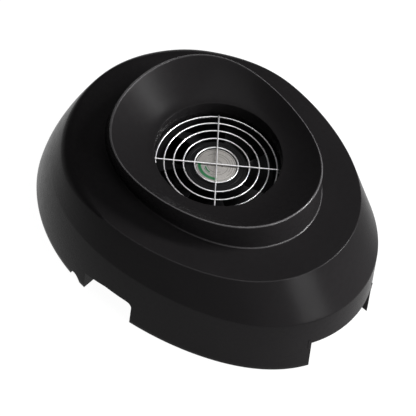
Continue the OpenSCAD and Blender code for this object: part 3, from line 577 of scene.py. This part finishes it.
MAT["abs"] = abs_shell()
MAT["fan"] = plastic("fan_plastic_matt", (0.0055, 0.0054, 0.0058), 0.45, spec=0.10)
MAT["gloss"] = plastic("switch_plastic", (0.007, 0.007, 0.0075), 0.24, grain=0.00001, spec=0.35)
MAT["rubber"] = plastic("rubber_matt", (0.014, 0.014, 0.0145), 0.8, grain=0.00010, grain_scale=900, spec=0.2)
MAT["foam"] = plastic("foam_open_cell", (0.030, 0.030, 0.031), 0.95, grain=0.0004, grain_scale=1100, spec=0.1)
MAT["frame"] = plastic("frame_coating", (0.007, 0.0068, 0.0075), 0.42, grain=0.00008, grain_scale=1300, spec=0.12)
MAT["chrome"] = metal("chrome_wire", (0.78, 0.77, 0.78), 0.36, metallic=0.8)
MAT["zinc"] = metal("zinc_plate", (0.58, 0.58, 0.60), 0.32)
MAT["steel"] = metal("ground_steel", (0.45, 0.45, 0.47), 0.30, streak=(1, 1, 12))
MAT["brass"] = metal("tinned_brass", (0.68, 0.62, 0.48), 0.30)
MAT["label"] = label_print()
MAT["cloth"] = cloth_mat("bag_cloth_weave", (0.020, 0.020, 0.023))
MAT["elastic"] = cloth_mat("elastic_weave", (0.012, 0.012, 0.013), 2200.0, 0.15)
MAT["lamination"] = striped("stacked_laminations", (0.32, 0.32, 0.34), "Z", 0.0005, 0.42, 1.0)
MAT["copper"] = striped("enamelled_copper", (0.50, 0.17, 0.06), "Z", 0.0004, 0.30, 0.9)
MAT["brown"] = plastic("lead_brown_pvc", (0.095, 0.035, 0.014), 0.38, spec=0.4)
MAT["blue"] = plastic("lead_blue_pvc", (0.018, 0.075, 0.30), 0.38, spec=0.4)
MAT["green"] = plastic("lead_green_pvc", (0.07, 0.26, 0.035), 0.38, spec=0.4)

def apply(o, m):
    o.data.materials.clear()
    o.data.materials.append(m)

BODY = {n: k for k, ns in frame["record"]["behaviour"]["bodies"].items() for n in ns}

def stands_for(o, m, *nodes):
    apply(o, m)
    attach(o, BODY[nodes[0]])
    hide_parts(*nodes)
    return o

housing = make_housing()
apply(housing, MAT["abs"])

# plain hard pieces keep the design's mesh; only the finish changes
for n, k in dict(fan_gasket="foam", rotor_ring="steel", motor_shaft="steel", shaft_clip="steel", upper_bearing="steel", lower_bearing="steel",
                 stator_core="lamination", fan_terminals="brass", switch_terminals="brass").items():
    apply(NODE[n], MAT[k])

# ------------------------------------------------- rounded copies of hard parts
def softened(node, width, m, seg=3, angle=35.0, sharp=40.0):
    me = NODE[node].data.copy()
    me.name = node + "_rounded"
    o = bpy.data.objects.new(node + "_rounded", me)
    scene.collection.objects.link(o)
    bm = bmesh.new()
    bm.from_mesh(me)
    bmesh.ops.remove_doubles(bm, verts=bm.verts, dist=2e-6)
    bmesh.ops.dissolve_limit(bm, angle_limit=math.radians(1.5), verts=bm.verts, edges=bm.edges)
    bm.to_mesh(me)
    bm.free()
    if "custom_normal" in me.attributes:
        me.attributes.remove(me.attributes["custom_normal"])
    md = o.modifiers.new("edges", "BEVEL")
    md.width = width / 1000.0
    md.segments = seg
    md.limit_method = "ANGLE"
    md.angle_limit = math.radians(angle)
    md.use_clamp_overlap = True
    me2 = evaluated_mesh(o)
    o.modifiers.clear()
    o.data = me2
    bpy.data.meshes.remove(me)
    smooth(o, sharp)
    return stands_for(o, m, node)

softened("rubber_feet", 0.5, MAT["rubber"])
softened("fan_frame", 0.45, MAT["frame"], angle=50)
softened("motor_plate", 0.4, MAT["frame"], angle=50)
softened("bag_ring", 0.5, MAT["fan"], angle=50)
softened("fan_screws", 0.25, MAT["zinc"], angle=50)
softened("fan_washers", 0.15, MAT["zinc"], angle=50)
softened("earth_screw", 0.2, MAT["zinc"], angle=50)
softened("stator_coils", 2.2, MAT["copper"], seg=5, angle=60)
softened("switch_body", 0.35, MAT["gloss"], angle=50)
softened("switch_rocker", 0.45, MAT["gloss"], seg=4, angle=50)
softened("inlet_body", 0.4, MAT["gloss"], angle=50)
softened("inlet_pins", 0.25, MAT["brass"], angle=50)
softened("inlet_screws", 0.2, MAT["zinc"], angle=50)
softened("inlet_nuts", 0.2, MAT["zinc"], angle=35)

# ------------------------------------------------------ swept and turned forms
def frames_along(p, closed=False):
    p = np.asarray(p, float)
    n = len(p)
    tan = np.roll(p, -1, 0) - np.roll(p, 1, 0) if closed else np.gradient(p, axis=0)
    tan /= np.linalg.norm(tan, axis=1, keepdims=True)
    u = np.cross(tan[0], [0.3, 0.2, 1.0]); u /= np.linalg.norm(u)
    us = []
    for k in range(n):
        u = u - tan[k] * np.dot(u, tan[k]); u /= np.linalg.norm(u)
        us.append(u.copy())
    us = np.array(us)
    return p, tan, us, np.cross(tan, us)
def sweep(p, r, sides=14, closed=False):
    """Vertices and faces of a round tube along points; r may vary by point."""
    p, tan, u, w = frames_along(p, closed)
    n = len(p)
    r = np.broadcast_to(np.asarray(r, float), (n,))
    a = np.arange(sides) * 2 * math.pi / sides
    v = p[:, None, :] + r[:, None, None] * (np.cos(a)[None, :, None] * u[:, None, :] + np.sin(a)[None, :, None] * w[:, None, :])
    f = []
    for i in range(n if closed else n - 1):
        i1 = (i + 1) % n
        for j in range(sides):
            j1 = (j + 1) % sides
            f.append((i * sides + j, i * sides + j1, i1 * sides + j1, i1 * sides + j))
    if not closed:
        f.append(tuple(range(sides - 1, -1, -1)))
        f.append(tuple((n - 1) * sides + j for j in range(sides)))
    return v.reshape(-1, 3), f
def joined(name, parts):
    vs, fs, k = [], [], 0
    for v, f in parts:
        vs.append(np.asarray(v, float)); fs += [tuple(i + k for i in q) for q in f]; k += len(v)
    return new_object(name, np.concatenate(vs), fs)
def rounded_path(pts, radius, steps=6):
    pts = [np.array(q, float) for q in pts]
    out = [pts[0]]
    for a, b, c in zip(pts, pts[1:], pts[2:]):
        u, v = a - b, c - b
        lu, lv = np.linalg.norm(u), np.linalg.norm(v)
        u, v = u / lu, v / lv
        ang = math.acos(max(-0.999, min(0.999, float(np.dot(u, v)))))
        d = min(radius / math.tan(ang / 2), 0.48 * lu, 0.48 * lv)
        s, e = b + u * d, b + v * d
        w = math.sin(ang / 2)
        for k in range(steps + 1):
            f = k / steps
            b0, b1, b2 = (1 - f) ** 2, 2 * f * (1 - f) * w, f * f
            out.append((b0 * s + b1 * b + b2 * e) / (b0 + b1 + b2))
    out.append(pts[-1])
    return np.array(out)
def lathe(profile, n=128, cx=0.0):
    """Closed turned skin from (radius, height) pairs; ends on the axis close themselves."""
    prof = [(max(r, 0.0), z) for r, z in profile]
    a = np.arange(n) * 2 * math.pi / n
    v, idx = [], []
    for r, z in prof:
        if r < 1e-6:
            idx.append([len(v)] * n); v.append((cx, 0, z))
        else:
            idx.append(list(range(len(v), len(v) + n)))
            v += [(cx + r * math.cos(x), r * math.sin(x), z) for x in a]
    f = []
    m = len(prof)
    closed = prof[0][0] > 1e-6
    for i in range(m if closed else m - 1):
        p, q = idx[i], idx[(i + 1) % m]
        for j in range(n):
            k = (j + 1) % n
            c = [p[j], q[j], q[k], p[k]]
            c2 = []
            for x in c:
                if x not in c2:
                    c2.append(x)
            if len(c2) >= 3:
                f.append(tuple(c2))
    return np.array(v, float), f
def arc(cx, cz, r, a0, a1, n=5):
    return [(cx + r * math.cos(math.radians(a0 + (a1 - a0) * k / n)), cz + r * math.sin(math.radians(a0 + (a1 - a0) * k / n))) for k in range(n + 1)]
def tidy(o, sharp=40.0):
    bm = bmesh.new()
    bm.from_mesh(o.data)
    bmesh.ops.recalc_face_normals(bm, faces=bm.faces)
    bm.to_mesh(o.data)
    bm.free()
    shift(o)
    smooth(o, sharp)
    return o

FAN_TOP, FAN_BOT, HUB_R, WIRE, GZ, PROUD = 104.5, 66.5, 29.0, 0.65, 109.3, 2.9
PITCH_R = 52.5 * math.sqrt(2)

def make_guard():
    n = 224
    a = np.arange(n) * 2 * math.pi / n
    parts = []
    for r in (20.3, 30.8, 39.9, 48.8, 56.6):
        parts.append(sweep(np.stack([r * np.cos(a), r * np.sin(a), np.full(n, GZ)], -1), WIRE, 12, True))
    o = joined("guard_ring_wires", [turned(q) for q in parts])
    stands_for(tidy(o), MAT["chrome"], "guard_rings")
    parts = []
    for i in range(2):
        z1, z0, e, c = GZ + 2 * WIRE + 0.01 + 0.02 * i, FAN_TOP + 1.0, 57.92, PITCH_R - 3.4
        path = rounded_path([(-c, 0, z0), (-e, 0, z0), (-e, 0, z1), (e, 0, z1), (e, 0, z0), (c, 0, z0)], 1.1)
        mid = [np.stack([np.linspace(p[0], q[0], 9), np.linspace(p[1], q[1], 9), np.linspace(p[2], q[2], 9)], -1)[1:-1] if np.linalg.norm(q - p) > 20 else None
               for p, q in zip(path[:-1], path[1:])]
        full = [path[0]]
        for q, mm in zip(path[1:], mid):
            if mm is not None:
                full += list(mm)
            full.append(q)
        g = math.radians(45 + 90 * i)
        R = np.array([[math.cos(g), -math.sin(g), 0], [math.sin(g), math.cos(g), 0], [0, 0, 1]])
        v, f = sweep(np.array(full), WIRE, 12)
        parts.append((v @ R.T, f))
        # small weld beads where the wire crosses the rings
        for s in (-1, 1):
            for r in (20.3, 30.8, 39.9, 48.8):
                bead = np.array([(s * r + dx, 0, GZ + WIRE) for dx in (-0.9, -0.6, 0, 0.6, 0.9)])
                v, f = sweep(bead, [0.25, 0.55, 0.72, 0.55, 0.25], 10)
                parts.append((v @ R.T, f))
    m = 64
    b = np.arange(m) * 2 * math.pi / m
    for k in range(4):
        g = math.radians(45 + 90 * k)
        parts.append(sweep(np.stack([PITCH_R * math.cos(g) + 3.5 * np.cos(b), PITCH_R * math.sin(g) + 3.5 * np.sin(b), np.full(m, FAN_TOP + 1.0)], -1), WIRE, 10, True))
    o = joined("guard_spoke_wires", [turned(q) for q in parts])
    stands_for(tidy(o), MAT["chrome"], "guard_spokes")

def make_impeller():
    h0, h1 = FAN_BOT + 6, FAN_TOP + PROUD
    prof = [(0, h1), (24.6, h1), (24.9, h1 - 0.25), (25.5, h1 - 0.25), (25.8, h1)]
    prof += [(28.0, h1)] + arc(28.0, h1 - 1.0, 1.0, 75, 0, 5) + [(29.0, h1 - 6), (29.0, h1 - 20), (29.0, h0 + 0.4), (28.6, h0), (27.0, h0), (26.6, h0 + 0.4)]
    prof += [(26.6, h1 - 3.2), (26.0, h1 - 2.6), (6.6, h1 - 2.6), (6.0, h1 - 3.2), (6.0, h1 - 5.7), (5.7, h1 - 6), (2.5, h1 - 6), (2.5, h1 - 2.6), (0, h1 - 2.6)]
    parts = [lathe(prof, 160)]
    z0, z1 = h0 + 2, FAN_TOP - 4
    nc, nr = ((26, 16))
    rs = np.concatenate([[27.8, 28.6, 29.2, 30.0], np.linspace(31.5, 55.4, nr), [55.9, 56.25, 56.4]])
    def surf(r, c):
        lag = 0.30 * (r - HUB_R)
        ang = np.radians(34 * (c - 0.5) * (1 + 0.10 * (56.4 - r) / 26) + lag)
        z = z0 + (z1 - z0) * (0.5 + (c - 0.5) * (1 - 0.25 * (r - HUB_R) / 26)) + 3.2 * math.sin(math.pi * c)
        return np.array([r * math.cos(ang), r * math.sin(ang), z])
    for i in range(7):
        rows = []
        for r in rs:
            grow = 1.0 + 0.9 * max(0.0, (30.6 - r) / 2.8) ** 2      # fillet at the root
            trim = 1.0 if r < 55.5 else max(0.25, 1 - ((r - 55.5) / 0.95) ** 2)
            top, bot = [], []
            for k in range(nc + 1):
                c = 0.5 - 0.5 * math.cos(math.pi * k / nc)
                p = surf(r, c)
                th = 1.7 * (4 * c * (1 - c)) ** 0.32 * (0.72 + 0.28 * (1 - c)) * trim
                top.append(p + np.array([0, 0, min(0.0, z1 + 2 - p[2])]) - np.array([0, 0, 0.85 - 0.5 * th * grow]))
                bot.append(top[-1] - np.array([0, 0, th * grow]))
            rows.append(top + bot[-2:0:-1])
        m = len(rows[0])
        v = np.array([q for row in rows for q in row])
        f = [tuple(k * m + x for x in (j, (j + 1) % m)) + tuple((k + 1) * m + x for x in ((j + 1) % m, j)) for k in range(len(rows) - 1) for j in range(m)]
        f += [tuple(range(m - 1, -1, -1)), tuple((len(rows) - 1) * m + j for j in range(m))]
        g = 2 * math.pi * i / 7
        R = np.array([[math.cos(g), -math.sin(g), 0], [math.sin(g), math.cos(g), 0], [0, 0, 1]])
        parts.append((v @ R.T, f))
    o = joined("impeller_moulding", [turned(q) for q in parts])
    stands_for(tidy(o, 35), MAT["fan"], "impeller")
    z = FAN_TOP + PROUD
    o = joined("label_disc", [turned(lathe([(0, z + 1.2), (18.5, z + 1.2), (18.8, z + 1.1), (19.0, z + 0.85), (19.0, z), (0, z)], 128))])
    stands_for(tidy(o, 30), MAT["label"], "hub_label")

def catmull(pts, q=10):
    p = np.array(pts, float)
    n = len(p)
    out = []
    for k in range(n - 1):
        a, b, c, d = p[max(0, k - 1)], p[k], p[k + 1], p[min(n - 1, k + 2)]
        for j in range(q):
            s = j / q
            out.append(0.5 * (2 * b + (c - a) * s + (2 * a - 5 * b + 4 * c - d) * s * s + (3 * b - a - 3 * c + d) * s ** 3))
    out.append(p[-1])
    return np.array(out)

def make_leads():
    pin, tab = PY - 24.1, PY - 23.1
    for node, m, pts in (
            ("lead_live", "brown", [(-25, pin, 51), (-25, 97.5, 51), (-24, 93, 45), (-10, 91, 40), (12, 91, 40), (24, 94, 42.5), (25, 98.5, 47), (25, tab, 47)]),
            ("lead_switched", "brown", [(25, tab, 57), (25, 98.5, 57), (26, 93, 61), (27, 84, 69), (27.8, 72, 74.7), (27.6, 68, 74.9), (27.2, 65.7, 74.9)]),
            ("lead_neutral", "blue", [(-11, pin, 51), (-11, 97.5, 51), (-8, 93, 54), (-1, 86, 64), (12, 77, 73), (20.6, 72, 74.7), (20.7, 69, 74.9), (20.3, 66.4, 74.9)]),
            ("lead_earth", "green", [(-18, pin, 55), (-18, 97.5, 55), (-18, 93, 59), (-14, 84, 74), (-5, 74, 84), (1, 68, 84.4), (1.6, 64.2, 84.5)])):
        o = joined(node + "_sheath", [sweep(catmull(pts), 1.1, 16)])
        stands_for(tidy(o, 50), MAT[m], node)

def make_elastic():
    n = 360
    a = np.arange(n) * 2 * math.pi / n
    z = FAN_BOT - 8.8
    r = 1.5 + 0.20 * np.sin(a * 90) * (0.75 + 0.25 * np.sin(a * 7 + 1.0))
    o = joined("elastic_cord", [sweep(np.stack([FX + 64.0 * np.cos(a), 64.0 * np.sin(a), z + 0.15 * np.sin(a * 11)], -1), r, 12, True)])
    stands_for(tidy(o, 60), MAT["elastic"], "bag_elastic")

BAG_OUT = [(0, 62.2, 60.0), (0, 62.2, 54.4), (0, 65.4, 53.0), (0, 66.0, 49.5), (0.35, 66, 47.0), (0.62, 66, 42.5), (0.85, 66, 35), (0.97, 66, 27),
           (1, 66, 19), (0.97, 66, 10), (0.88, 66, 4), (0.78, 66, 1.2)]

def make_bag():
    """Sewn bag: a lofted skin settled by a short cloth run, then given its seam, hem and thickness."""
    n = 144
    A, B = 116.0, 90.0
    t = np.arange(n) * 2 * math.pi / n
    # profile resampled evenly by length
    key = np.array([(r0 * (1 - f) + (A + 3) * f, r0 * (1 - f) + (B + 3) * f, z) for f, r0, z in BAG_OUT] + [(A * 0.55, B * 0.55, 1.6), (A * 0.30, B * 0.30, 1.9), (A * 0.08, B * 0.08, 2.0)])
    seg = np.linalg.norm(np.diff(key, axis=0), axis=1)
    s = np.concatenate([[0], np.cumsum(seg)])
    rows = 50
    q = np.linspace(0, s[-1], rows)
    prof = np.stack([np.interp(q, s, key[:, k]) for k in range(3)], -1)
    verts = []
    for k, (ra, rb, z) in enumerate(prof):
        depth = q[k] / s[-1]
        free = float(np.clip((51.0 - z) / 8.0, 0, 1))
        # gathers run down from the mouth and die out towards the seam
        ripple = 0.9 * free * math.exp(-depth * 5.0) * np.sin(t * 38 + 0.7 * np.sin(t * 5)) + 0.5 * free * np.sin(t * 9 + 1.3 + 3 * depth)
        verts.append(np.stack([FX + (ra + ripple) * np.cos(t), (rb + ripple) * np.sin(t), np.full(n, z) + 0.25 * ripple], -1))
    v = np.concatenate(verts + [np.array([[FX, 0, 2.0]])])
    f = [(k * n + j, k * n + (j + 1) % n, (k + 1) * n + (j + 1) % n, (k + 1) * n + j) for k in range(rows - 1) for j in range(n)]
    f += [((rows - 1) * n + j, (rows - 1) * n + (j + 1) % n, rows * n) for j in range(n)]
    o = new_object("bag_cloth", v, [tuple(reversed(x)) for x in f])
    held = [k * n + j for k in range(rows) if prof[k][2] > 48.8 for j in range(n)]
    vg = o.vertex_groups.new(name="pin")
    vg.add(held, 1.0, "REPLACE")
    floor = new_object("bag_floor", [(-300, -300, 1.1), (300, -300, 1.1), (300, 300, 1.1), (-300, 300, 1.1)], [(0, 1, 2, 3)])
    floor.modifiers.new("c", "COLLISION")
    floor.collision.thickness_outer = 0.0006
    md = o.modifiers.new("cloth", "CLOTH")
    c = md.settings
    c.quality = 6
    c.mass = 0.12
    c.tension_stiffness = c.compression_stiffness = 18
    c.shear_stiffness = 8
    c.bending_stiffness = 0.35
    c.tension_damping = c.compression_damping = 12
    c.air_damping = 3.0
    c.vertex_group_mass = "pin"
    c.pin_stiffness = 1.0
    c.use_pressure = True
    c.uniform_pressure_force = 0.35
    c.shrink_min = -0.012
    md.collision_settings.use_collision = True
    md.collision_settings.distance_min = 0.0012
    md.collision_settings.use_self_collision = False
    last = 34
    md.point_cache.frame_start, md.point_cache.frame_end = 1, last
    scene.frame_start, scene.frame_end = 1, last
    for fr in range(1, last + 1):
        scene.frame_set(fr)
    me = evaluated_mesh(o)
    o.modifiers.clear()
    old = o.data
    o.data = me
    bpy.data.meshes.remove(old)
    fm = floor.data
    bpy.data.objects.remove(floor)
    bpy.data.meshes.remove(fm)
    scene.frame_set(1)
    co = np.empty(len(me.vertices) * 3)
    me.vertices.foreach_get("co", co)
    co = co.reshape(-1, 3) * 1000
    # stay inside the room under the deck
    x, y = co[:, 0] - FX, co[:, 1]
    e = np.sqrt((x / 121.0) ** 2 + (y / 95.0) ** 2)
    k = np.where(e > 1, 1 / e, 1.0)
    co[:, 0], co[:, 1] = FX + x * k, y * k
    co[:, 2] = np.clip(co[:, 2], 0.9, 60.0)
    me.vertices.foreach_set("co", (co / 1000).ravel())
    me.update()
    ring = int(np.argmax(prof[:, 0]))
    seam = co[ring * n:(ring + 1) * n].copy()
    hem = co[0:n].copy()
    md = o.modifiers.new("thick", "SOLIDIFY")
    md.thickness = 0.0009
    md.offset = -1.0
    md.use_even_offset = False
    md = o.modifiers.new("sub", "SUBSURF")
    md.levels = md.render_levels = 1
    me = evaluated_mesh(o)
    o.modifiers.clear()
    old = o.data
    o.data = me
    bpy.data.meshes.remove(old)
    o.vertex_groups.clear()
    shift(o)
    smooth(o, 180)
    stands_for(o, MAT["cloth"], "dust_bag")
    # piped seam round the widest line, and the folded hem of the mouth
    out = seam - np.array([FX, 0, 0]); out[:, 2] = 0
    out /= np.linalg.norm(out, axis=1, keepdims=True)
    parts = [sweep(seam + out * 0.5, 0.95 + 0.08 * np.sin(np.arange(n) * 2.4), 8, True), sweep(hem, 0.8, 8, True)]
    p = joined("bag_seam", parts)
    tidy(p, 80)
    apply(p, MAT["elastic"])
    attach(p, "casing")

make_guard()
make_impeller()
make_leads()
make_elastic()
make_bag()

# ------------------------------------------------------------ floor, lights
def make_stage():
    s = 6.0
    o = new_object("floor", [(-s, -s, 0), (s, -s, 0), (s, s, 0), (-s, s, 0)], [(0, 1, 2, 3)], mm=False)
    m, nt, b = mat("floor_paper")
    v = coords(nt)
    n = noise_tex(nt, v, 300, 3.0)
    L(nt, ramp(nt, n, 0.3, (0.06, 0.06, 0.06), 0.7, (0.08, 0.08, 0.08)), b.inputs["Base Color"])
    b.inputs["Roughness"].default_value = 0.9
    b.inputs["Specular IOR Level"].default_value = 0.1
    b.inputs["Emission Color"].default_value = (1, 1, 1, 1)
    b.inputs["Emission Strength"].default_value = 0.97
    apply(o, m)
    w = bpy.data.worlds.new("studio")
    scene.world = w
    w.use_nodes = True
    wt = w.node_tree
    bg = wt.nodes["Background"]
    # pale at the horizon, dim overhead
    tc = N(wt, "ShaderNodeTexCoord")
    sp = N(wt, "ShaderNodeSeparateXYZ")
    L(wt, tc.outputs["Generated"], sp.inputs[0])
    L(wt, ramp(wt, maprange(wt, sp.outputs["Z"], 0.0, 0.14, 0.0, 1.0), 0.0, (0.12, 0.12, 0.125), 1.0, (0.03, 0.03, 0.031)), bg.inputs["Color"])
    bg.inputs["Strength"].default_value = 1.0
    def area(name, loc, target, size, power, color=(1, 1, 1), size_y=None):
        d = bpy.data.lights.new(name, "AREA")
        d.shape = "RECTANGLE"
        d.size = size; d.size_y = size_y or size
        d.energy = power; d.color = color
        l = bpy.data.objects.new(name, d)
        scene.collection.objects.link(l)
        l.location = loc
        l.rotation_mode = "QUATERNION"
        l.rotation_quaternion = (Vector(target) - Vector(loc)).to_track_quat("-Z", "Y")
        return l
    area("over", (0.1, -0.2, 2.6), (0, 0, 0), 1.6, 36)
    area("right_low", (1.4, -0.12, 0.32), (0.1, 0, 0.08), 0.5, 22, size_y=0.5)
    # long strip behind on the right, tilted so that it lies along the dish
    k = area("rear_strip", (0.865, 0.781, 0.924), (0, 0, 0.1), 0.17, 44, size_y=1.18)
    y = Vector((-0.731, 0, 0.682)).normalized()
    z = -(Vector((0, 0, 0.1)) - k.location).normalized()
    z = (z - z.dot(y) * y).normalized()
    x = y.cross(z)
    k.rotation_quaternion = Matrix((x, y, z)).transposed().to_quaternion()
make_stage()
scene.view_settings.view_transform = "Standard"
